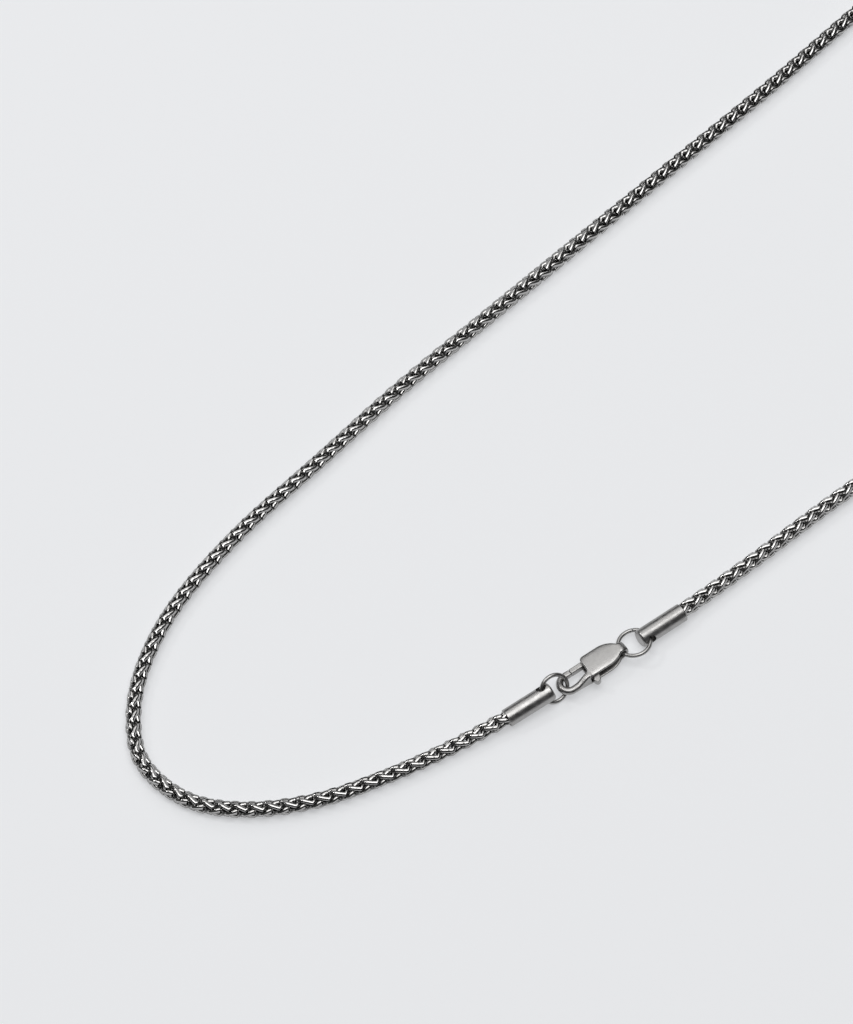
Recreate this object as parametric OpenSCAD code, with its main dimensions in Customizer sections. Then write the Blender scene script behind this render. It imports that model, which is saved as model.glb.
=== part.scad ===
// Wheat chain necklace, lying flat as one closed loop.
// Barrel end caps, two jump rings and a lobster clasp with a turning lever join its two ends.
// Millimetres, +Z up, X along the clasp, origin under the middle of the loop.

/* [Chain] */
// Diameter across the chain
chain_d = 2.2; // [2.0:0.1:2.4]

/* [End caps] */
// Outer diameter of an end cap
cap_d = 2.7; // [2.7:0.1:3.0]
// Length of an end cap
cap_len = 7.5; // [7:0.1:8.5]
// Depth of the bore that takes the chain's end
cap_bore_depth = 4.5; // [3.5:0.1:4.6]
// Radial gap between the chain's end and its bore
cap_bore_gap = 0.07; // [0.05:0.01:0.1]
// Clearance of the jump ring in its cross hole, on each side
cap_hole_gap = 0.16; // [0.15:0.01:0.18]
// Wall left between the cross hole and the closed end
cap_end_wall = 0.45; // [0.42:0.01:0.6]
// Rounding of the closed end
cap_round = 0.38; // [0.2:0.02:0.38]
// Rounding of the mouth's rim
cap_rim_round = 0.12; // [0.05:0.01:0.15]

/* [Jump rings] */
// Wire diameter of both jump rings
ring_wire = 0.6; // [0.5:0.02:0.66]
// Outer diameter of the ring in the hook
hook_ring_d = 4.7; // [4.6:0.1:5.0]
// Outer diameter of the ring in the clasp's neck
neck_ring_d = 5.2; // [5.0:0.1:5.6]
// Slack between the hook and its ring
hook_ring_slack = 0.3; // [0.25:0.05:0.4]
// Slack between the neck's fold and its ring
neck_ring_slack = 0.2; // [0.15:0.05:0.3]

/* [Clasp body] */
// Length from the hook's outer end to the neck's outer end
clasp_len = 11.7; // [11.4:0.1:12.4]
// Thickness of the top and bottom plates
plate_t = 0.5; // [0.4:0.05:0.6]
// Space between the plates
slot_h = 1.3; // [1.25:0.05:1.4]
// Width across the plates
plate_w = 3.6; // [3.5:0.1:3.8]
// How far the plates stand off the neck's axis, towards the gate
plate_side = 0.4; // [0.3:0.05:0.5]
// Where the plates begin, from the hook's outer end
plate_start = 4.9; // [4.8:0.1:5.1]
// Rounding of the plate's corner above the gate
plate_corner = 0.7; // [0.4:0.1:0.9]
// Diameter of the hook's bar
hook_bar_d = 1.1; // [1.0:0.05:1.15]
// Radius of the hook's bend, to the middle of its bar
hook_bend_r = 1.25; // [1.2:0.05:1.35]
// How far the hook's arm lies from the neck's axis
arm_drop = 1.1; // [1.05:0.05:1.2]
// How far the hook's tip runs past its bend
hook_tip_len = 1.1; // [0.9:0.05:1.2]
// Width of the neck that folds over the jump ring
neck_w = 1.3; // [1.1:0.1:1.5]

/* [Clasp lever] */
// Thickness of the lever
lever_t = 1.05; // [0.9:0.05:1.1]
// Width of the gate that closes the hook
gate_w = 0.8; // [0.7:0.05:0.9]
// Gap between the gate's end and the hook's tip
gate_gap = 0.08; // [0.05:0.01:0.15]
// Diameter of the lever's hub
hub_d = 1.9; // [1.7:0.1:2.0]
// Width of the thumb lug
lug_w = 1.05; // [0.8:0.05:1.1]
// How far the thumb lug reaches below the neck's axis
lug_reach = 2.35; // [2.1:0.05:2.5]
// Diameter of the pin that the lever turns on
pin_d = 0.8; // [0.7:0.05:0.9]
// Radial running gap between the pin and the lever
pin_gap = 0.05; // [0.03:0.01:0.08]

/* [Lay] */
// Roll of the clasp as it lies, its lug side up
clasp_roll = 10; // [5:1:12]
// How far the rings hold the clasp off the surface
clasp_lift = 0.07; // [0.02:0.01:0.1]
// Tilt of the ring in the hook, its gate side up
hook_ring_tilt = 50; // [48:1:54]
// Tilt of the ring in the neck, its lug side up
neck_ring_tilt = 18; // [12:1:20]

/* [Hidden] */
$fn = 48;

// The chain's route on the surface, [x, y], from the cap at the hook round the loop to the other cap
chain_route = [
  [-73, -32.5], [-83, -31], [-93, -28.5], [-102, -24], [-108, -18], [-110, -10], [-107, -3], [-101, 3],
  [-92, 8], [-79, 12], [-63, 15], [-47, 18], [-29, 20.5], [-11, 23], [7, 25.5], [25, 28], [43, 31],
  [62, 34], [80, 34], [96, 29], [107, 18], [111, 3], [107, -13], [96, -25], [80, -30], [62, -31],
  [44, -31], [28, -31], [11, -31.5], [-5, -32], [-19, -33], [-27, -33.5]
];
// Rings of the tube's sweep between two route points, and its sides
steps_per_point = 2;
tube_sides = 8;

// Where the clasp lies: the hook's outer end and the neck's axis
clasp_x = -56;
clasp_y = -34;
// Clearance of the lowest edges over the surface
floor_gap = 0.02;
// Gap between the chain's end and the bottom of its bore
end_gap = 0.2;
// Overlap of solids that are one piece
weld = 0.1;

// Plates and slot
half_h = slot_h / 2 + plate_t;
plate_low = plate_side - plate_w / 2;
plate_high = plate_side + plate_w / 2;
neck_r = half_h;
neck_x = clasp_len - neck_r;
// The plates' edges run straight as far as flank_x and then curve in to the neck
flank_x = clasp_len - 3.7;
gate_flank_r = 3.3;
lug_flank_r = 4.2;
// How far the neck's strip reaches back under the plates
neck_root = 2;
clasp_z = clasp_lift + half_h * cos(clasp_roll) + plate_high * sin(clasp_roll);

// Hook: the bend's centre, the arm on the lug's side and the tip on the gate's side
bend_x = hook_bend_r + hook_bar_d / 2;
arm_y = -arm_drop;
bend_y = arm_y + hook_bend_r;
tip_y = bend_y + hook_bend_r;
tip_x = bend_x + hook_tip_len;
// The arm's root, where the bar has swollen to the clasp's full thickness, and the room it leaves for the lug
root_len = 0.9;
root_end = plate_start - 0.2;
root_swell = 1.1;
lug_room = 0.15;

// Lever: its pivot and the places of its gate and lug
pivot_back = 1.5;
pivot_inset = 1.25;
pivot_x = plate_start + pivot_back;
pivot_y = plate_high - pivot_inset;
gate_y = tip_y;
gate_x = tip_x + gate_gap;
lug_x = root_end + lug_room + lug_w / 2;
// How much of a plate's thickness the pin enters, and its gap there
pin_share = 0.55;
pin_sink = plate_t * pin_share;
pin_fit = 0.02;

// Rings: radius to the middle of the wire, and centres in the part's frame.
// The hook's ring lies off the middle of its bend, towards the gate.
hook_ring_side = 0.4;
hook_ring_r = (hook_ring_d - ring_wire) / 2;
neck_ring_r = (neck_ring_d - ring_wire) / 2;
hook_ring_at = [
  clasp_x + hook_bar_d + hook_ring_slack + ring_wire / 2 - hook_ring_r,
  clasp_y + bend_y + hook_ring_side,
  floor_gap + hook_ring_r * sin(hook_ring_tilt) + ring_wire / 2
];
neck_ring_at = [
  clasp_x + clasp_len - plate_t - neck_ring_slack - ring_wire / 2 + neck_ring_r,
  clasp_y,
  clasp_z
];

// Caps: inside the cross hole a ring bulges away from the closed end, from the wire's inner edge where it
// leaves the cap to the middle of the wire. The hole is as wide as the rounder ring needs.
function wire_bulge(ring_r) = ring_r - sqrt(pow(ring_r - ring_wire / 2, 2) - cap_d * cap_d / 4);
cap_hole_d = max(wire_bulge(hook_ring_r), wire_bulge(neck_ring_r)) + ring_wire / 2 + 2 * cap_hole_gap;
// Depth of the wire's middle under the closed end, the mouth's height and each cap's slope
function wire_depth(ring_r) = cap_end_wall + cap_hole_gap + wire_bulge(ring_r);
mouth_z = cap_d / 2 + floor_gap;
function cap_slope(ring_r, wire_z) = asin((wire_z - mouth_z) / (cap_len - wire_depth(ring_r)));
hook_cap_slope = cap_slope(hook_ring_r, hook_ring_at[2]);
neck_cap_slope = cap_slope(neck_ring_r, neck_ring_at[2]);
hook_cap_turn = 178;
neck_cap_turn = 1;
hook_cap_wire = hook_ring_at - [hook_ring_r, 0, 0];
neck_cap_wire = neck_ring_at + [neck_ring_r, 0, 0];

// Unit vector of a cap's axis, from its closed end to its mouth
function cap_dir(turn, slope) = [cos(slope) * cos(turn), cos(slope) * sin(turn), -sin(slope)];
hook_dir = cap_dir(hook_cap_turn, hook_cap_slope);
neck_dir = cap_dir(neck_cap_turn, neck_cap_slope);
hook_cap_at = hook_cap_wire - wire_depth(hook_ring_r) * hook_dir;
neck_cap_at = neck_cap_wire - wire_depth(neck_ring_r) * neck_dir;

// The chain's path: into one bore, along the route, into the other bore
bore_in = cap_len - cap_bore_depth + end_gap;
route_3d = [for (p = chain_route) [p[0], p[1], chain_d / 2]];
knots = concat([hook_cap_at + cap_len * hook_dir], route_3d, [neck_cap_at + cap_len * neck_dir]);
knot_count = len(knots);

function before(i) = i > 0 ? knots[i - 1] : hook_cap_at + bore_in * hook_dir;
function after(i) = i < knot_count - 1 ? knots[i + 1] : neck_cap_at + bore_in * neck_dir;
// Catmull-Rom point at share t between knot i and the next one
function spline(i, t) =
  let (a = before(i), b = knots[i], c = knots[i + 1], d = after(i + 1))
  0.5 * (2 * b + (c - a) * t + (2 * a - 5 * b + 4 * c - d) * t * t + (3 * b - a - 3 * c + d) * t * t * t);

path = concat(
  [hook_cap_at + bore_in * hook_dir],
  [for (i = [0 : knot_count - 2], s = [0 : steps_per_point - 1]) spline(i, s / steps_per_point)],
  [knots[knot_count - 1], neck_cap_at + bore_in * neck_dir]
);

function unit(v) = v / norm(v);
function heading(points, i) =
  let (last = len(points) - 1)
  unit(points[min(i + 1, last)] - points[max(i - 1, 0)]);
// The corners of one ring of the tube, square to the path
function tube_ring(points, i, r) =
  let (t = heading(points, i), side = unit(cross([0, 0, 1], t)), rise = cross(t, side))
  [
    for (k = [0 : tube_sides - 1])
      let (a = k * 360 / tube_sides)
      points[i] + r * (cos(a) * side + sin(a) * rise)
  ];

module tube(points, r) {
  n = len(points);
  corners = [for (i = [0 : n - 1]) each tube_ring(points, i, r)];
  sides = [
    for (i = [0 : n - 2], k = [0 : tube_sides - 1])
      let (a = i * tube_sides + k, b = i * tube_sides + (k + 1) % tube_sides)
      each [[a, a + tube_sides, b], [b, a + tube_sides, b + tube_sides]]
  ];
  first_end = [for (k = [0 : tube_sides - 1]) k];
  last_end = [for (k = [tube_sides - 1 : -1 : 0]) (n - 1) * tube_sides + k];
  polyhedron(points = corners, faces = concat([first_end, last_end], sides));
}

module chain() {
  color("dimgray") tube(path, chain_d / 2);
}

// One cap along +X from its closed end at the origin, with its cross hole along Y
module end_cap() {
  bore_r = chain_d / 2 + cap_bore_gap;
  difference() {
    rotate([90, 0, 90]) rotate_extrude() cap_profile();
    translate([cap_len - cap_bore_depth, 0, 0]) rotate([0, 90, 0])
      cylinder(r = bore_r, h = cap_bore_depth + 1);
    translate([cap_end_wall + cap_hole_d / 2, 0, 0]) rotate([90, 0, 0])
      cylinder(d = cap_hole_d, h = cap_d + 1, center = true);
  }
}

// Half section of a cap: a rounded closed end at y = 0 and a lightly rounded rim at its mouth
module cap_profile() {
  r = cap_d / 2;
  square([r - cap_round, cap_len]);
  translate([0, cap_round]) square([r, cap_len - cap_round - cap_rim_round]);
  translate([r - cap_round, cap_round]) circle(cap_round);
  translate([0, cap_len - cap_rim_round - weld]) square([r - cap_rim_round, cap_rim_round + weld]);
  translate([r - cap_rim_round, cap_len - cap_rim_round]) circle(cap_rim_round);
}

module end_cap_hook() {
  color("silver") translate(hook_cap_at)
    rotate([0, 0, hook_cap_turn]) rotate([0, hook_cap_slope, 0]) rotate([-hook_ring_tilt, 0, 0]) end_cap();
}

module end_cap_neck() {
  color("silver") translate(neck_cap_at)
    rotate([0, 0, neck_cap_turn]) rotate([0, neck_cap_slope, 0]) rotate([-neck_ring_tilt, 0, 0]) end_cap();
}

module jump_ring(ring_r) {
  rotate_extrude() translate([ring_r, 0]) circle(d = ring_wire);
}

module jump_ring_hook() {
  color("gainsboro") translate(hook_ring_at) rotate([hook_ring_tilt, 0, 0]) jump_ring(hook_ring_r);
}

module jump_ring_neck() {
  color("gainsboro") translate(neck_ring_at) rotate([-neck_ring_tilt, 0, 0]) jump_ring(neck_ring_r);
}

// The clasp's own frame: x from the hook's outer end, y from the neck's axis, z from mid-thickness
module at_clasp() {
  translate([clasp_x, clasp_y, clasp_z]) rotate([-clasp_roll, 0, 0]) children();
}

// Outline of one plate: square behind the gate, with both edges curving in to the neck
module plate_outline() {
  difference() {
    union() {
      translate([plate_start, plate_low]) square([flank_x - plate_start, plate_w]);
      intersection() {
        translate([flank_x, plate_high - gate_flank_r]) circle(gate_flank_r, $fn = 96);
        translate([flank_x, plate_low + lug_flank_r]) circle(lug_flank_r, $fn = 96);
        translate([flank_x - weld, plate_low]) square([neck_x - flank_x + weld, plate_w]);
      }
      translate([neck_x - neck_root, -neck_w / 2]) square([neck_root, neck_w]);
      translate([root_end - root_len, plate_low])
        square([root_len + 1, arm_y + hook_bar_d / 2 - plate_low]);
    }
    translate([plate_start, plate_high - plate_corner]) corner_cut();
  }
}

// What a square corner loses to its rounding
module corner_cut() {
  difference() {
    translate([-1, 0]) square([plate_corner + 1, plate_corner + 1]);
    translate([plate_corner, 0]) circle(plate_corner);
  }
}

module hook() {
  translate([bend_x, bend_y, 0]) {
    intersection() {
      rotate_extrude() translate([hook_bend_r, 0]) circle(d = hook_bar_d);
      translate([-bend_x - 1, -hook_bend_r - hook_bar_d, -hook_bar_d])
        cube([bend_x + 1, 2 * (hook_bend_r + hook_bar_d), 2 * hook_bar_d]);
    }
    translate([0, hook_bend_r, 0]) rotate([0, 90, 0]) cylinder(d = hook_bar_d, h = hook_tip_len);
    translate([0, -hook_bend_r, 0]) rotate([0, 90, 0]) cylinder(d = hook_bar_d, h = root_end - bend_x);
  }
}

// The arm's root: the round bar swells to the clasp's full thickness where the plates begin
module arm_root() {
  root_x = root_end - root_len;
  hull() {
    translate([root_x - root_swell, arm_y, 0]) rotate([0, 90, 0])
      cylinder(d = hook_bar_d, h = weld, $fn = 32);
    translate([root_x, arm_y - hook_bar_d / 2, -half_h]) cube([root_len, hook_bar_d, 2 * half_h]);
  }
}

// The neck: the sheet folds over from the top plate to the bottom plate, round the jump ring
module neck_fold() {
  translate([neck_x, 0, 0]) rotate([90, 0, 0]) intersection() {
    difference() {
      cylinder(r = neck_r, h = neck_w, center = true);
      cylinder(r = slot_h / 2, h = neck_w + 1, center = true);
    }
    translate([-weld, -neck_r - 1, -neck_w]) cube([neck_r + 1, 2 * neck_r + 2, 2 * neck_w]);
  }
}

module clasp_body() {
  color("silver") at_clasp() difference() {
    union() {
      for (z = [-half_h, slot_h / 2]) translate([0, 0, z]) linear_extrude(plate_t) plate_outline();
      hook();
      arm_root();
      neck_fold();
    }
    translate([pivot_x, pivot_y, 0])
      cylinder(d = pin_d + 2 * pin_fit, h = slot_h + 2 * pin_sink + 2 * pin_fit, center = true);
  }
}

// The gate ends on an arc about the pivot, so it passes the hook's tip at a constant gap
module lever_outline() {
  intersection() {
    translate([gate_x - 1, gate_y - gate_w / 2]) square([pivot_x - gate_x + 1, gate_w]);
    translate([pivot_x, pivot_y]) circle(pivot_x - gate_x, $fn = 96);
  }
  translate([pivot_x, pivot_y]) circle(d = hub_d);
  hull() {
    translate([pivot_x, pivot_y]) circle(d = lug_w);
    translate([lug_x, lug_w / 2 - lug_reach]) circle(d = lug_w);
  }
}

module clasp_lever() {
  color("silver") at_clasp() difference() {
    translate([0, 0, -lever_t / 2]) linear_extrude(lever_t) lever_outline();
    translate([pivot_x, pivot_y, 0]) cylinder(d = pin_d + 2 * pin_gap, h = lever_t + 1, center = true);
  }
}

module clasp_pin() {
  color("gray") at_clasp() translate([pivot_x, pivot_y, 0])
    cylinder(d = pin_d, h = slot_h + 2 * pin_sink, center = true);
}

chain();
end_cap_hook();
end_cap_neck();
jump_ring_hook();
jump_ring_neck();
clasp_body();
clasp_lever();
clasp_pin();
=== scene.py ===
# %% [markdown]
# # A wheat chain necklace, laid flat
# The necklace is a long loop of polished steel links. Two small barrel caps grip its ends, and a jump
# ring joins each cap to a lobster clasp. The solids come packed from the CAD source, in metres, and stay
# where they are. This script gives them their looks: the swept tube that stands for the chain becomes
# real links, and the caps, rings, clasp and lever get the soft edges and the metal that the plain solids
# don't have.

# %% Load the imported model
import math

import bpy
import numpy as np
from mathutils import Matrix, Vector


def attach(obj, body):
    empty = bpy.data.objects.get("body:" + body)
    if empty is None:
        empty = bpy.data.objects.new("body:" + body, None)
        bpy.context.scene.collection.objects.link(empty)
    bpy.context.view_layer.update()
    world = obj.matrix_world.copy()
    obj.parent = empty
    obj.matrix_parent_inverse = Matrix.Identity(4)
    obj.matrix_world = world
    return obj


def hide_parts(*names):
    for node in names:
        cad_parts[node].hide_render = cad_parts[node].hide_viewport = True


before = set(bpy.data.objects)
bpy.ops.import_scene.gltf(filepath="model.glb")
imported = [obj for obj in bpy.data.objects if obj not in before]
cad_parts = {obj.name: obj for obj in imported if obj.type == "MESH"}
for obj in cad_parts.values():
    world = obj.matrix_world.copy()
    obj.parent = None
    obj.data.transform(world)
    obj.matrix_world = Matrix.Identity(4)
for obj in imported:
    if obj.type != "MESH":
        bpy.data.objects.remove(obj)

scene = bpy.context.scene
MM = 0.001
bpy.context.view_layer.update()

# %% [markdown]
# ## The camera
# A shape can only be judged from the place that its picture was taken from, so the camera comes first. It
# could be dragged into place by hand, but then a number can't be corrected by itself. Here it looks down
# on the loop from 65 degrees above the surface, turned so that the clasp runs up to the right. A long
# lens from 0.7 m keeps the far strand nearly as thick as the near one.

# %% Camera
VIEW_TURN = math.radians(-34.44)
VIEW_RISE = math.radians(65)
VIEW_DISTANCE = 0.7
LENS = 172.3
SENSOR = 36
AIM = Vector((-0.0552, -0.0001, 0))

camera_data = bpy.data.cameras.new("camera")
camera_data.sensor_width = SENSOR
camera_data.lens = LENS
camera_data.clip_start = 0.01
camera = bpy.data.objects.new("camera", camera_data)
away = Vector((
    math.sin(VIEW_TURN) * math.cos(VIEW_RISE),
    -math.cos(VIEW_TURN) * math.cos(VIEW_RISE),
    math.sin(VIEW_RISE),
))
camera.location = AIM + VIEW_DISTANCE * away
camera.rotation_euler = away.to_track_quat("Z", "Y").to_euler()
scene.collection.objects.link(camera)
scene.camera = camera
print(f"the camera takes in {VIEW_DISTANCE * SENSOR / LENS / MM:.0f} mm along the picture's long side")

# %% [markdown]
# ## Meshes from arrays
# A loop that adds one vertex after another is slow, and hides the shape's formula. So every new piece is
# a grid of points that numpy works out in one go, in millimetres. The helpers below join the grid's
# neighbours into four-sided faces and hand the arrays to Blender in metres.


# %% Helpers for meshes
def grid_faces(rows, columns, wrap_rows=False):
    """Quads between neighbouring points of a rows x columns grid, whose last column also joins the first.

    wrap_rows joins the last row to the first, too.
    """
    r, c = np.meshgrid(np.arange(rows if wrap_rows else rows - 1), np.arange(columns), indexing="ij")
    r1, c1 = (r + 1) % rows, (c + 1) % columns
    corners = [r * columns + c, r * columns + c1, r1 * columns + c1, r1 * columns + c]
    return np.stack(corners, -1).reshape(-1, 4)


def make_piece(name, points, faces, metal, depth=None):
    """Smooth shaded object of points in mm and faces. depth is one number a point, for its metal."""
    mesh = bpy.data.meshes.new(name)
    mesh.from_pydata((points.reshape(-1, 3) * MM).tolist(), [], faces)
    mesh.polygons.foreach_set("use_smooth", np.ones(len(mesh.polygons), bool))
    if depth is not None:
        layer = mesh.attributes.new("depth", "FLOAT", "POINT")
        layer.data.foreach_set("value", depth.reshape(-1).astype(np.float32))
    mesh.materials.append(metal)
    mesh.validate()
    piece = bpy.data.objects.new(name, mesh)
    scene.collection.objects.link(piece)
    triangles = sum(len(p.vertices) - 2 for p in mesh.polygons)
    print(f"{name}: {triangles} triangles")
    return piece


# %% [markdown]
# ## Metal
# All of the necklace is one steel, finished in two ways. The links are tumbled until they shine, and the
# clasp and its fittings are left satin. A metal has no colour of its own beyond what it mirrors, so its
# base colour is a mid grey, a little warm, and its roughness says how sharp the mirror is.


# %% Steel
def steel(name, colour, roughness):
    """A plain metal: its shader's colour and roughness, for the nodes that follow to vary."""
    material = bpy.data.materials.new(name)
    material.use_nodes = True
    shader = material.node_tree.nodes["Principled BSDF"]
    shader.inputs["Base Color"].default_value = (*colour, 1)
    shader.inputs["Metallic"].default_value = 1
    shader.inputs["Roughness"].default_value = roughness
    print(f"{name}: roughness {roughness}")
    return material, material.node_tree, shader


link_steel, link_nodes, link_shader = steel("link_steel", (0.4, 0.395, 0.39), 0.17)
satin_steel, satin_nodes, satin_shader = steel("satin_steel", (0.37, 0.364, 0.357), 0.34)

# %% [markdown]
# ### Painted shade between the links
# The light alone leaves the steel between the links too bright, so shade is painted into the links'
# colour:
# they turn dark towards the chain's middle, near black deep inside. Each point of the links therefore
# carries its depth, its distance from the chain's middle as a share of the radius, and a colour ramp turns
# that into the steel's grey.


# %% Painted shade between the links
WARM_GREY = (1, 0.985, 0.965)
# Painted shade: places in depth and greys, with the steel darkest deep between the links
PAINTED_GAP_SHADE = [(0.45, 0.015), (0.66, 0.14), (0.86, 0.5)]


def ramp(tree, source, stops):
    """Colour ramp fed by a socket: stops are pairs of a place from 0 to 1 and a grey."""
    node = tree.nodes.new("ShaderNodeValToRGB")
    while len(node.color_ramp.elements) < len(stops):
        node.color_ramp.elements.new(0.5)
    for element, (place, grey) in zip(node.color_ramp.elements, stops):
        element.position = place
        element.color = (*(grey * share for share in WARM_GREY), 1)
    tree.links.new(source, node.inputs["Fac"])
    return node.outputs["Color"]


depth_node = link_nodes.nodes.new("ShaderNodeAttribute")
depth_node.attribute_name = "depth"
# The ramp paints shade into the links' base colour, darker towards the chain's middle
link_nodes.links.new(ramp(link_nodes, depth_node.outputs["Fac"], PAINTED_GAP_SHADE), link_shader.inputs["Base Color"])
print(f"the links' grey rises from {PAINTED_GAP_SHADE[0][1]} to {PAINTED_GAP_SHADE[-1][1]}")

# %% [markdown]
# ### Marks of handling
# Satin steel shows fine strokes from its finishing and duller patches where fingers rubbed it. Both are
# noise in the metal's own coordinates, which needs no picture and has no seams: one noise varies the
# roughness, and a finer one, drawn out along the clasp, feeds a bump. The links get only the faintest
# unevenness.


# %% Marks on the satin
RUB_SCALE = 1100
STROKE_SCALE = 2600
STROKE_STRETCH = (0.35, 1, 1)
TUMBLE_SCALE = 1800


def noise(tree, scale, detail, stretch=(1, 1, 1)):
    """Noise texture in object coordinates, pulled long along an axis where stretch is small."""
    place = tree.nodes.new("ShaderNodeMapping")
    place.inputs["Scale"].default_value = stretch
    tree.links.new(tree.nodes.new("ShaderNodeTexCoord").outputs["Object"], place.inputs["Vector"])
    node = tree.nodes.new("ShaderNodeTexNoise")
    node.inputs["Scale"].default_value = scale
    node.inputs["Detail"].default_value = detail
    tree.links.new(place.outputs["Vector"], node.inputs["Vector"])
    return node.outputs["Fac"]


def bump(tree, shader, height, distance, strength):
    """Feeds a height into the shader's normal through a bump node."""
    node = tree.nodes.new("ShaderNodeBump")
    node.inputs["Distance"].default_value = distance
    node.inputs["Strength"].default_value = strength
    tree.links.new(height, node.inputs["Height"])
    tree.links.new(node.outputs["Normal"], shader.inputs["Normal"])


rub = ramp(satin_nodes, noise(satin_nodes, RUB_SCALE, 4), [(0.35, 0.28), (0.65, 0.42)])
satin_nodes.links.new(rub, satin_shader.inputs["Roughness"])
bump(satin_nodes, satin_shader, noise(satin_nodes, STROKE_SCALE, 3, STROKE_STRETCH), 0.00002, 0.5)
bump(link_nodes, link_shader, noise(link_nodes, TUMBLE_SCALE, 2), 0.00001, 0.3)
print(f"rubbed patches {1 / RUB_SCALE / MM:.1f} mm across, strokes {1 / STROKE_SCALE / MM:.1f} mm wide")

# %% [markdown]
# ## The chain's path
# A chain that is laid down by hand makes long easy bends, which no single formula gives. The chain lies
# along the same points as in the source, joined by a Catmull-Rom spline, because that passes
# through every point and repeats the source's route exactly. The path runs from the cap at the clasp's
# neck round to the cap at its hook, because that is the way the links' heads point.

# %% Path of the chain
CHAIN_R = 1.1
TANGENT_REACH = 0.3
ROUTE = np.array([
    (-73, -32.5), (-83, -31), (-93, -28.5), (-102, -24), (-108, -18), (-110, -10), (-107, -3), (-101, 3),
    (-92, 8), (-79, 12), (-63, 15), (-47, 18), (-29, 20.5), (-11, 23), (7, 25.5), (25, 28), (43, 31),
    (62, 34), (80, 34), (96, 29), (107, 18), (111, 3), (107, -13), (96, -25), (80, -30), (62, -31),
    (44, -31), (28, -31), (11, -31.5), (-5, -32), (-19, -33), (-27, -33.5),
])
HOOK_MOUTH = (-64.387, -33.241, 1.37)
NECK_MOUTH = (-34.579, -33.893, 1.37)
HOOK_BORE = (-60.1, -33.36, 1.74)
NECK_BORE = (-38.87, -33.96, 1.52)


def spline(knots, steps):
    """Catmull-Rom spline: between two knots a cubic, whose slope at a knot is half the step across it."""
    a, b, c, d = knots[:-3, None], knots[1:-2, None], knots[2:-1, None], knots[3:, None]
    t = np.linspace(0, 1, steps, endpoint=False)[None, :, None]
    cubic = 2 * b + (c - a) * t + (2 * a - 5 * b + 4 * c - d) * t**2 + (3 * b - a - 3 * c + d) * t**3
    return 0.5 * cubic.reshape(-1, 3)


route = np.column_stack([ROUTE, np.full(len(ROUTE), CHAIN_R)])
knots = np.vstack([HOOK_BORE, HOOK_MOUTH, route, NECK_MOUTH, NECK_BORE])[::-1]
knots = np.vstack([2 * knots[0] - knots[1], knots, 2 * knots[-1] - knots[-2]])
path = np.vstack([spline(knots, 40), knots[-2]])
path_at = np.concatenate([[0], np.cumsum(np.linalg.norm(np.diff(path, axis=0), axis=1))])
print(f"chain with its ends in the caps: {path_at[-1]:.1f} mm")


def along_path(s):
    """Point, sideways and upward directions of the path at lengths s.

    The tangent is the step from a little behind to a little ahead. Sideways is the tangent crossed with
    straight up, and upwards is sideways crossed with the tangent. Sideways, upwards and the tangent make
    a left-handed set, so a shape that is placed with them comes out mirrored.
    """
    point, ahead, behind = (
        np.stack([np.interp(s + step, path_at, path[:, k]) for k in range(3)], -1)
        for step in (0, TANGENT_REACH, -TANGENT_REACH)
    )
    tangent = ahead - behind
    tangent /= np.linalg.norm(tangent, axis=-1, keepdims=True)
    side = np.cross(tangent, (0, 0, 1.0))
    side /= np.linalg.norm(side, axis=-1, keepdims=True)
    return point, side, np.cross(side, tangent)


# %% [markdown]
# ## The links
# A wheat link starts as an oval of wire. It is twisted until its wires cross, folded into a U, and the
# next link goes up through both of its eyes. Seen from outside, the two wires of an eye cross at its
# foot, lean apart as they rise and dive in at its head. Each link is one closed curve with a wire swept
# along it. The curve could be a sum of waves, but a short table of heights, radii and turns is easier to
# compare with the real strands. The link comes about four hundred times, so its wire has only four sides,
# and smooth shading rounds them off.

# %% One link
WIRE_D = 0.8
WIRE_SIDES = 4
# Height along the chain, distance from its middle and turn in degrees from the eye's centre line
HALF_LINK = np.array([
    (-0.08, 0.28, 66), (0.45, 0.42, 18), (1.0, 0.56, -8), (1.5, 0.69, -26), (2.0, 0.69, -36),
    (2.4, 0.52, -30), (2.68, 0.38, 0), (2.4, 0.52, 30),
    (2.0, 0.69, 36), (1.4, 0.71, 19), (0.8, 0.71, -2), (0.3, 0.6, -22),
])


def link_curve():
    """Closed curve: each row's distance, turned about the link's line, then all rows half a turn on."""
    height, radius, turn = HALF_LINK.T
    turn = np.radians(turn)
    half = np.stack([radius * np.cos(turn), radius * np.sin(turn), height], -1)
    return np.vstack([half, half * (-1, -1, 1)])


def wire(centre):
    """Tube round a closed curve: at each point, cos a times one direction plus sin a times another.

    The first is the tangent crossed with a direction that leans out and down, the second is the tangent
    crossed with the first, so both are square to the wire and the ring never spins between two points.
    """
    tangent = np.roll(centre, -1, 0) - np.roll(centre, 1, 0)
    tangent /= np.linalg.norm(tangent, axis=1, keepdims=True)
    outward = centre * (1, 1, 0) + (0, 0, -1.0)
    first = np.cross(tangent, outward)
    first /= np.linalg.norm(first, axis=1, keepdims=True)
    second = np.cross(tangent, first)
    a = np.arange(WIRE_SIDES) * 2 * np.pi / WIRE_SIDES
    ring = np.cos(a)[None, :, None] * first[:, None] + np.sin(a)[None, :, None] * second[:, None]
    return (centre[:, None] + WIRE_D / 2 * ring).reshape(-1, 3)


print(f"one link: {2 * len(HALF_LINK) * WIRE_SIDES} faces, {np.ptp(HALF_LINK[:, 0]) + WIRE_D:.1f} mm long")

# %% [markdown]
# ### The whole braid
# A second family of links, wound the other way, sits a quarter turn and half a step further on, and the
# leaning strands of the two make the plaited ears of wheat. Instances along a curve would do it, but they
# can't bend. So all links are one array: each is placed at its length along the path and bent with it. A
# real chain rolls as it is laid down, so the roll changes along the path, and other strands come to the
# top of each stretch. The braid is a little wider than the tube that stands for it, so it is moved
# inwards and up by the difference, which keeps it on the floor and inside the outline.

# %% All the links along the path
LINKS_R = 1.2
PITCH = 2.33
END_GAP = 0.4
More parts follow.
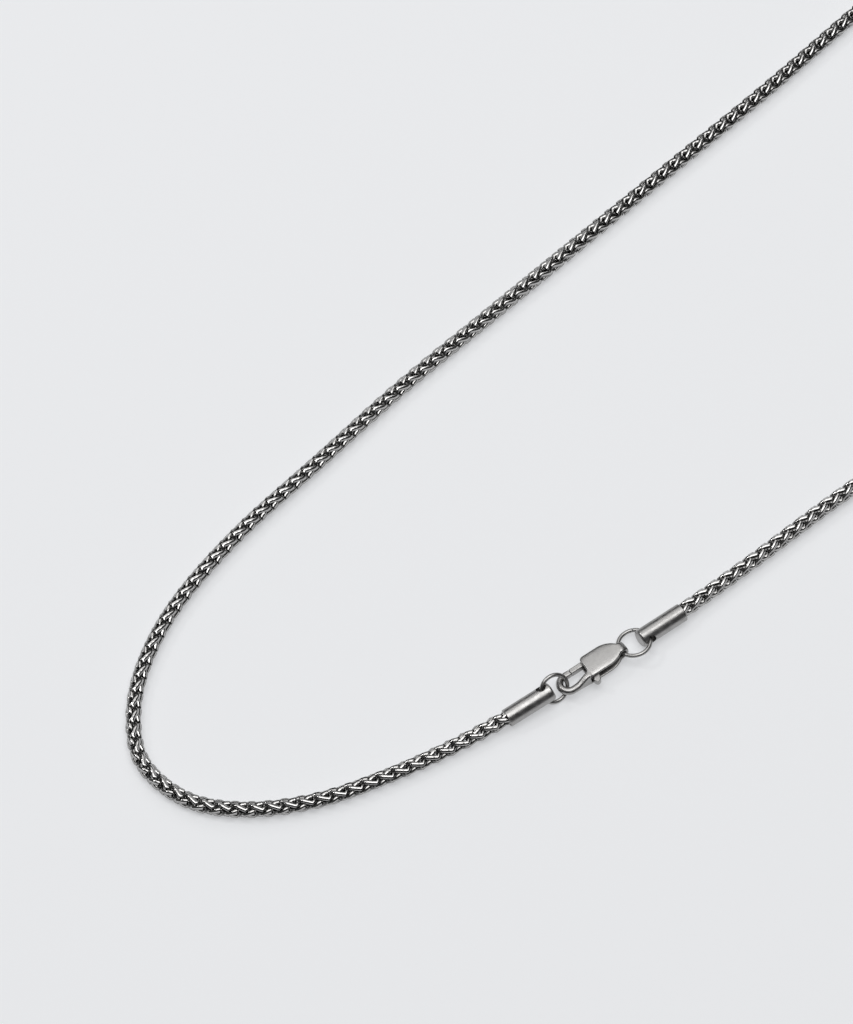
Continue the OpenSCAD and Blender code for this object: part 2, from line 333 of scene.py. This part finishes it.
# Length along the path and roll in degrees
ROLL_AT = np.array([
    (0, 52), (30, 56), (262, 95), (300, 88), (320, 65), (342, 48), (368, 31),
    (405, 24), (422, 28), (431, 12), (443, 2), (456, -11), (466, -20), (479, -26),
])


def wheat_chain():
    """Points, faces and depths of all links.

    A link's x and y, turned by the roll, go sideways and upwards from the path's point at its z. Depth is
    the distance from the middle as a share of LINKS_R. Known fault: the path's directions mirror each
    link, and its faces keep their old order, so they look into the wire and not outwards.
    """
    curve = link_curve()
    link = wire(curve)
    mirrored = wire(curve * (1, -1, 1))
    turned = np.stack([-mirrored[:, 1], mirrored[:, 0], mirrored[:, 2]], -1)
    room = path_at[-1] - 2 * END_GAP - link[:, 2].max() + link[:, 2].min()
    count = int(room / (PITCH / 2)) + 1
    start = END_GAP - link[:, 2].min() + np.arange(count) * PITCH / 2
    shape = np.where((np.arange(count) % 2 == 0)[:, None, None], link, turned)
    s = start[:, None] + shape[..., 2]
    point, side, rise = along_path(s)
    roll = np.radians(np.interp(s, *ROLL_AT.T))
    x, y = LINKS_R / CHAIN_R * shape[..., 0], LINKS_R / CHAIN_R * shape[..., 1]
    u = x * np.cos(roll) - y * np.sin(roll) - (LINKS_R - CHAIN_R)
    v = x * np.sin(roll) + y * np.cos(roll) + (LINKS_R - CHAIN_R)
    points = point + u[..., None] * side + v[..., None] * rise
    faces = grid_faces(len(curve), WIRE_SIDES, wrap_rows=True)
    faces = (faces[None] + np.arange(count)[:, None, None] * len(link)).reshape(-1, 4)
    print(f"{count} links, one every {PITCH / 2:.2f} mm")
    return points, faces.tolist(), np.hypot(x, y) / LINKS_R


points, faces, depth = wheat_chain()
chain_links = make_piece("chain_links", points, faces, link_steel, depth)
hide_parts("chain")
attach(chain_links, "necklace")

# %% [markdown]
# ## Soft-edged metal
# The clasp is pressed and tumbled, so none of its edges is sharp and the hook grows out of the plates in
# one sweep. Bevelled boxes would keep a crease where two of them meet. Here each part is a loft instead:
# rounded rectangles set along a curve. The lofts are then melted together on a fine grid of voxels and
# smoothed a little, as the tumbling does to the real one.


# %% Lofts
def swell(t):
    """Smooth step from 0 to 1: three t squared less two t cubed."""
    t = np.clip(t, 0, 1)
    return t * t * (3 - 2 * t)


def loft(centre, across, up, half_width, half_height, squareness, sides=32):
    """Rounded rectangles along a curve: |cos a| and |sin a| to the power 2 / squareness, times half sizes.

    centre, across and up are one vector a station. half_width, half_height and squareness are one number a
    station. Gives the points and the faces, with a flat face over either end.
    """
    stations = len(centre)
    a = (np.arange(sides) + 0.5) * 2 * np.pi / sides
    width, height, power = (
        np.broadcast_to(np.asarray(v, float), stations)[:, None, None]
        for v in (half_width, half_height, squareness)
    )
    c, s = np.cos(a)[None, :, None], np.sin(a)[None, :, None]
    c = np.sign(c) * np.abs(c) ** (2 / power)
    s = np.sign(s) * np.abs(s) ** (2 / power)
    across, up = (np.broadcast_to(np.asarray(v, float), (stations, 3))[:, None] for v in (across, up))
    points = centre[:, None] + width * c * across + height * s * up
    faces = grid_faces(stations, sides).tolist()
    first, last = list(range(sides)), list(range((stations - 1) * sides, stations * sides))
    return points.reshape(-1, 3), faces + [first, last[::-1]]


def join(lofts):
    """One list of points and one of faces from several lofts."""
    points = np.vstack([p for p, _ in lofts])
    starts = np.cumsum([0] + [len(p) for p, _ in lofts])
    return points, [[v + n for v in face] for n, (_, fs) in zip(starts, lofts) for face in fs]


# %% [markdown]
# ### Melting and placing
# The clasp lies rolled by ten degrees, its lug side up, as the two rings hold it. It is easier to draw
# unrolled, with its hook's end near the origin and its neck along +X. So each piece is melted in that
# frame, in millimetres, where a voxel is a plain number, and only the finished points are rolled and
# moved to their place.

# %% Melting
VOXEL = 0.05
CLASP_AT = np.array([-56, -34, 1.5846])
CLASP_ROLL = math.radians(10)


def at_clasp(points):
    """From the clasp's frame to the necklace's: rolled about its long axis, lug side up, then moved."""
    x, y, z = points[..., 0], points[..., 1], points[..., 2]
    c, s = math.cos(CLASP_ROLL), math.sin(CLASP_ROLL)
    return CLASP_AT + np.stack([x, y * c + z * s, z * c - y * s], -1)


def melt(name, lofts, rounds):
    """Melts overlapping lofts into one skin: a voxel remesh of all of them, then rounds of smoothing."""
    points, faces = join(lofts)
    raw = bpy.data.meshes.new(name + "_raw")
    raw.from_pydata(points.tolist(), [], faces)
    work = bpy.data.objects.new(name + "_raw", raw)
    scene.collection.objects.link(work)
    remesh = work.modifiers.new("melt", "REMESH")
    remesh.mode = "VOXEL"
    remesh.voxel_size = VOXEL
    smooth = work.modifiers.new("tumble", "SMOOTH")
    smooth.factor = 0.5
    smooth.iterations = rounds
    bpy.context.view_layer.update()
    done = bpy.data.meshes.new_from_object(work.evaluated_get(bpy.context.evaluated_depsgraph_get()))
    bpy.data.objects.remove(work)
    bpy.data.meshes.remove(raw)
    corners = np.empty(len(done.vertices) * 3, np.float32)
    done.vertices.foreach_get("co", corners)
    quads = [list(p.vertices) for p in done.polygons]
    bpy.data.meshes.remove(done)
    return make_piece(name, at_clasp(corners.reshape(-1, 3).astype(float)), quads, satin_steel)


# %% [markdown]
# ## The clasp's plates
# Both plates are one strip of sheet, cut to a leaf, bulged a little and folded double over the jump ring.
# Two extruded outlines would need a third piece for the fold. So they are one loft, too: its stations run
# along the upper plate, round the fold and back along the lower plate, and the strip's two edges are
# functions of the place along the clasp. In front, a tongue of the strip dips down and leads over into
# the hook's arm.

# %% Folded plates
PLATE_START, NECK_X = 4.9, 10.55
PLATE_LOW, PLATE_HIGH, PLATE_Z = -1.4, 2.2, 0.9
HALF_SHEET, HALF_NECK = 0.25, 0.65
SHOULDER_X, GATE_ARC, LUG_ARC = 8, 3.3, 4.2
CORNER_R = 0.7
DISH = 0.08
BAR_R, BEND_R = 0.55, 1.25
BEND_AT = np.array([1.8, 0.15])
ARM_EDGE = BEND_AT[1] - BEND_R + BAR_R
TONGUE_START, TONGUE_FILLET, TONGUE_DIP = 3.9, 0.9, 0.4
TONGUE_LEVEL = PLATE_START - 0.2
FRONT_STEP = 0.02


def plate_edges(x):
    """The gate's edge and the lug's edge of a plate: straight to the shoulder, then arcs down to the neck.

    The gate's edge has a round corner in front. Before the plate's start only the tongue is left, as wide
    as the arm, and a small arc leads from it up to the plate.
    """
    past = np.clip(x - SHOULDER_X, 0, None)
    gate = PLATE_HIGH - GATE_ARC + np.sqrt(np.clip(GATE_ARC**2 - past**2, 0, None))
    lug = PLATE_LOW + LUG_ARC - np.sqrt(LUG_ARC**2 - past**2)
    corner = np.clip(PLATE_START + CORNER_R - x, 0, CORNER_R)
    gate = np.maximum(gate, HALF_NECK) - CORNER_R + np.sqrt(CORNER_R**2 - corner**2)
    fillet = np.clip(x - PLATE_START + TONGUE_FILLET, 0, TONGUE_FILLET)
    tongue = ARM_EDGE + TONGUE_FILLET - np.sqrt(TONGUE_FILLET**2 - fillet**2)
    return np.where(x < PLATE_START, tongue, gate), np.minimum(lug, -HALF_NECK)


def folded_plates():
    """Loft of flat rounded rectangles: along the top at +z, half a turn about the neck's end, back at -z.

    Each plate is dished: it falls away by the square of the distance from its middle line.
    """
    corner = CORNER_R * (1 - np.cos(np.linspace(0, np.pi / 2, 12)))
    straight = np.concatenate([
        np.linspace(TONGUE_START, PLATE_START - FRONT_STEP, 20),
        PLATE_START + FRONT_STEP + corner,
        np.linspace(PLATE_START + CORNER_R + 0.1, NECK_X, 36),
    ])
    turn = np.linspace(0, np.pi, 22)[1:-1]
    x = np.concatenate([straight, NECK_X + PLATE_Z * np.sin(turn), straight[::-1]])
    level = PLATE_Z - TONGUE_DIP * swell((TONGUE_LEVEL - straight) / (TONGUE_LEVEL - TONGUE_START))
    z = np.concatenate([level, PLATE_Z * np.cos(turn), -level[::-1]])
    gate, lug = plate_edges(np.minimum(x, NECK_X))
    centre = np.stack([x, (gate + lug) / 2, z], -1)
    normal = np.concatenate([
        np.tile((0, 0, 1.0), (len(straight), 1)),
        np.stack([np.sin(turn), np.zeros_like(turn), np.cos(turn)], -1),
        np.tile((0, 0, -1.0), (len(straight), 1)),
    ])
    points, faces = loft(centre, (0, 1.0, 0), normal, (gate - lug) / 2, HALF_SHEET, 3.2, sides=48)
    grid = points.reshape(len(x), -1, 3)
    share = (grid[..., 1] - (PLATE_LOW + PLATE_HIGH) / 2) / ((PLATE_HIGH - PLATE_LOW) / 2)
    flat = np.abs(normal[:, 2])[:, None]
    grid = grid - (DISH * flat * share**2)[..., None] * normal[:, None]
    return grid.reshape(-1, 3), faces


# %% [markdown]
# ## The clasp's hook
# The arm leaves the plates at their full thickness and slims down to a round bar, which bends back on
# itself and ends in a squared tip that faces the gate. A curve with a bevel would keep one section all
# the way. A loft may change it from station to station, so the root's and the tip's shapes are just
# numbers that swell and fade.

# %% Hook
ROOT_FADE, ROOT_END, TIP_X = 2.3, 4.7, 2.9
ROOT_SHIFT, ROOT_WIDER, ROOT_HIGHER, ROOT_SQUARER = 0.25, 0.03, 0.58, 1.6
TIP_RUN, TIP_NARROWER, TIP_LOWER, TIP_SQUARER = 0.9, 0.12, 0.07, 3
ROUND = 2


def hook():
    """Loft along a line, half a circle and a line again, all level. Its root swells towards the plates."""
    arm = np.linspace(ROOT_END, BEND_AT[0], 24, endpoint=False)
    turn = np.linspace(0, np.pi, 28)
    tip = np.linspace(BEND_AT[0], TIP_X, 9)[1:]
    x = np.concatenate([arm, BEND_AT[0] - BEND_R * np.sin(turn), tip])
    y = BEND_AT[1] + BEND_R * np.concatenate([np.full(len(arm), -1), -np.cos(turn), np.ones(len(tip))])
    heading = np.concatenate([np.zeros(len(arm)), turn, np.full(len(tip), np.pi)])
    across = np.stack([-np.sin(heading), -np.cos(heading), np.zeros_like(heading)], -1)
    station = np.arange(len(x))
    root = np.where(station < len(arm), swell((x - ROOT_FADE) / (ROOT_END - ROOT_FADE)), 0)
    end = np.where(station >= len(arm) + len(turn), swell((x - BEND_AT[0]) / TIP_RUN), 0)
    centre = np.stack([x, y + ROOT_SHIFT * root, np.zeros_like(x)], -1)
    width = BAR_R + ROOT_WIDER * root - TIP_NARROWER * end
    height = BAR_R + ROOT_HIGHER * root - TIP_LOWER * end
    squareness = ROUND + ROOT_SQUARER * root + TIP_SQUARER * end
    return loft(centre, across, (0, 0, 1.0), width, height, squareness)


clasp_shell = melt("clasp_shell", [folded_plates(), hook()], 5)
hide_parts("clasp_body")
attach(clasp_shell, "necklace")

# %% [markdown]
# ## The lever
# The gate, the hub and the thumb lug are one small casting that turns on the hidden pin. It is made as
# the clasp is, from lofts melted together, but as a piece of its own, because it moves: its body is the
# lever. The gate is a squared bar, so it shows a light upper face and a dark side, and the lug has a
# round end for the nail.

# %% Gate, hub and lug
PIVOT = np.array([6.4, 0.95])
GATE_X, GATE_Y, GATE_HALF = 2.98, 1.4, 0.4
LUG_END, LUG_HALF = np.array([5.375, -1.825]), 0.525
LEVER_HALF, HUB_R, HUB_HOLE_R = 0.525, 0.95, 0.45
HUB_OVERLAP = 0.6


def bar(start, end, half_width, rounded_end, squareness):
    """Loft along a straight level line. A rounded end narrows as half a circle does."""
    length = np.hypot(*(end - start))
    along = (end - start) / length
    t = np.linspace(0, length, 12)
    if rounded_end:
        t = np.concatenate([t, length + half_width * np.sin(np.linspace(0.1, 1.45, 10))])
    width = half_width * np.sqrt(1 - (np.clip(t - length, 0, None) / half_width) ** 2)
    centre = np.column_stack([start + t[:, None] * along, np.zeros(len(t))])
    return loft(centre, (-along[1], along[0], 0), (0, 0, 1.0), width, LEVER_HALF, squareness)


def hub():
    """A washer: rounded rectangles set round the pivot, each square to the circle."""
    turn = np.linspace(0, 2 * np.pi, 49)[:-1]
    out = np.stack([np.cos(turn), np.sin(turn), np.zeros_like(turn)], -1)
    centre = np.append(PIVOT, 0) + (HUB_R + HUB_HOLE_R) / 2 * out
    points, _ = loft(centre, out, (0, 0, -1.0), (HUB_R - HUB_HOLE_R) / 2, LEVER_HALF, 8)
    return points, grid_faces(len(turn), len(points) // len(turn), wrap_rows=True).tolist()


gate_start = np.array([PIVOT[0] - HUB_OVERLAP, GATE_Y])
lug_start = PIVOT + HUB_OVERLAP * (LUG_END - PIVOT) / np.hypot(*(LUG_END - PIVOT))
gate = bar(gate_start, np.array([GATE_X, GATE_Y]), GATE_HALF, False, 8)
lug = bar(lug_start, LUG_END, LUG_HALF, True, 6)
lever = melt("lever", [gate, hub(), lug], 3)
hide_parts("clasp_lever")
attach(lever, "lever")

# %% [markdown]
# ## The jump rings
# A jump ring is a turn of wire cut from a coil, and its two ends meet in a fine seam. A torus has no
# ends, so each ring is a circle swept along nearly a whole turn. It lies tilted, because it leans on the
# hook or the neck that it passes through.

# %% Jump rings
RING_WIRE_R = 0.3
SEAM = 0.05


def jump_ring(name, at, radius, tilt, seam_at):
    """Circle of wire about its own centre, less the seam, tilted about X and moved to its place."""
    half_gap = SEAM / 2 / radius
    turn = seam_at + np.linspace(half_gap, 2 * np.pi - half_gap, 97)
    out = np.stack([np.cos(turn), np.sin(turn), np.zeros_like(turn)], -1)
    points, faces = loft(radius * out, out, (0, 0, -1.0), RING_WIRE_R, RING_WIRE_R, ROUND, sides=16)
    c, s = math.cos(tilt), math.sin(tilt)
    x, y, z = points.T
    points = np.array(at) + np.stack([x, y * c - z * s, y * s + z * c], -1)
    return make_piece(name, points, faces, satin_steel)


hook_ring = jump_ring("hook_ring", (-56.35, -33.45, 1.89), 2.05, math.radians(50), math.radians(200))
neck_ring = jump_ring("neck_ring", (-43, -34, 1.585), 2.3, math.radians(-18), math.radians(60))
for ring, node in ((hook_ring, "jump_ring_hook"), (neck_ring, "jump_ring_neck")):
    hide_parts(node)
    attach(ring, "necklace")

# %% [markdown]
# ## The pieces that stay
# The barrel caps are turned on a lathe, with a drilled bore, a cross hole and a round shoulder. Their
# solids already have those shapes, and so has the plain pin. Nothing is gained by drawing them again, so
# they keep their meshes and only get the satin metal.

# %% Metal of the solids that stay
CARRIED_OVER = ("end_cap_hook", "end_cap_neck", "clasp_pin")
for node in CARRIED_OVER:
    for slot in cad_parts[node].material_slots:
        slot.material = satin_steel
print("satin steel on", ", ".join(CARRIED_OVER))

# %% [markdown]
# ## The surface
# The necklace lies on a pale opal sheet that is lit a little from below. A sheet that only takes its
# light from above would show a wide grey shadow, and the glow keeps it faint. The sheet is stage, not a
# piece.

# %% Floor
FLOOR_HALF = 3.0
corners = np.array([(-1, -1, 0), (1, -1, 0), (1, 1, 0), (-1, 1, 0)]) * FLOOR_HALF
floor_mesh = bpy.data.meshes.new("floor")
floor_mesh.from_pydata(corners.tolist(), [], [(0, 1, 2, 3)])
floor = bpy.data.objects.new("floor", floor_mesh)
scene.collection.objects.link(floor)
floor_paint = bpy.data.materials.new("floor_paint")
floor_paint.use_nodes = True
floor_shader = floor_paint.node_tree.nodes["Principled BSDF"]
floor_shader.inputs["Base Color"].default_value = (0.49, 0.496, 0.505, 1)
floor_shader.inputs["Roughness"].default_value = 0.9
floor_shader.inputs["Specular IOR Level"].default_value = 0.1
floor_shader.inputs["Emission Color"].default_value = (0.97, 0.98, 1, 1)
floor_shader.inputs["Emission Strength"].default_value = 0.43
floor_mesh.materials.append(floor_paint)
print(f"floor: {2 * FLOOR_HALF:.0f} m square")

# %% [markdown]
# ## The light
# Metal shows only what it mirrors, so each light is placed for what it draws on the steel. A broad panel
# hangs overhead and lays a soft stripe along every strand, a dimmer card behind fills the clasp's plates,
# and a small lamp on the left puts a spark on each strand. The dark room in front matters as much,
# because it gives the steel its blacks.

# %% Lights
back = Vector((-away.x, -away.y, 0)).normalized()
right = Vector((-away.y, away.x, 0)).normalized()
middle = Vector((-0.0552, 0, 0))


def soft_light(name, to_back, to_left, up, width, height, watts):
    """A rectangular light that faces the middle of the view, placed from there in metres."""
    data = bpy.data.lights.new(name, "AREA")
    data.shape = "RECTANGLE"
    data.size, data.size_y, data.energy = width, height, watts
    lamp = bpy.data.objects.new(name, data)
    offset = to_back * back - to_left * right + Vector((0, 0, up))
    lamp.location = middle + offset
    lamp.rotation_euler = offset.to_track_quat("Z", "Y").to_euler()
    scene.collection.objects.link(lamp)
    print(f"{name}: {watts} W at {offset.length:.1f} m")


soft_light("tent", 0.14, 0, 1.59, 1.5, 1.05, 16)
soft_light("card", 1.02, 0, 1.1, 1.6, 0.75, 5)
soft_light("left", 0.3, 0.68, 0.8, 0.13, 0.13, 1.1)

# %% [markdown]
# ### The room
# Beyond the lights everything is dim. A black room would leave hard black patches in the metal, so the
# room is given a faint, slightly cool grey.

# %% Room
world = bpy.data.worlds.new("room")
world.use_nodes = True
world.node_tree.nodes["Background"].inputs["Color"].default_value = (0.95, 0.97, 1, 1)
world.node_tree.nodes["Background"].inputs["Strength"].default_value = 0.06
scene.world = world
scene.view_settings.view_transform = "Standard"
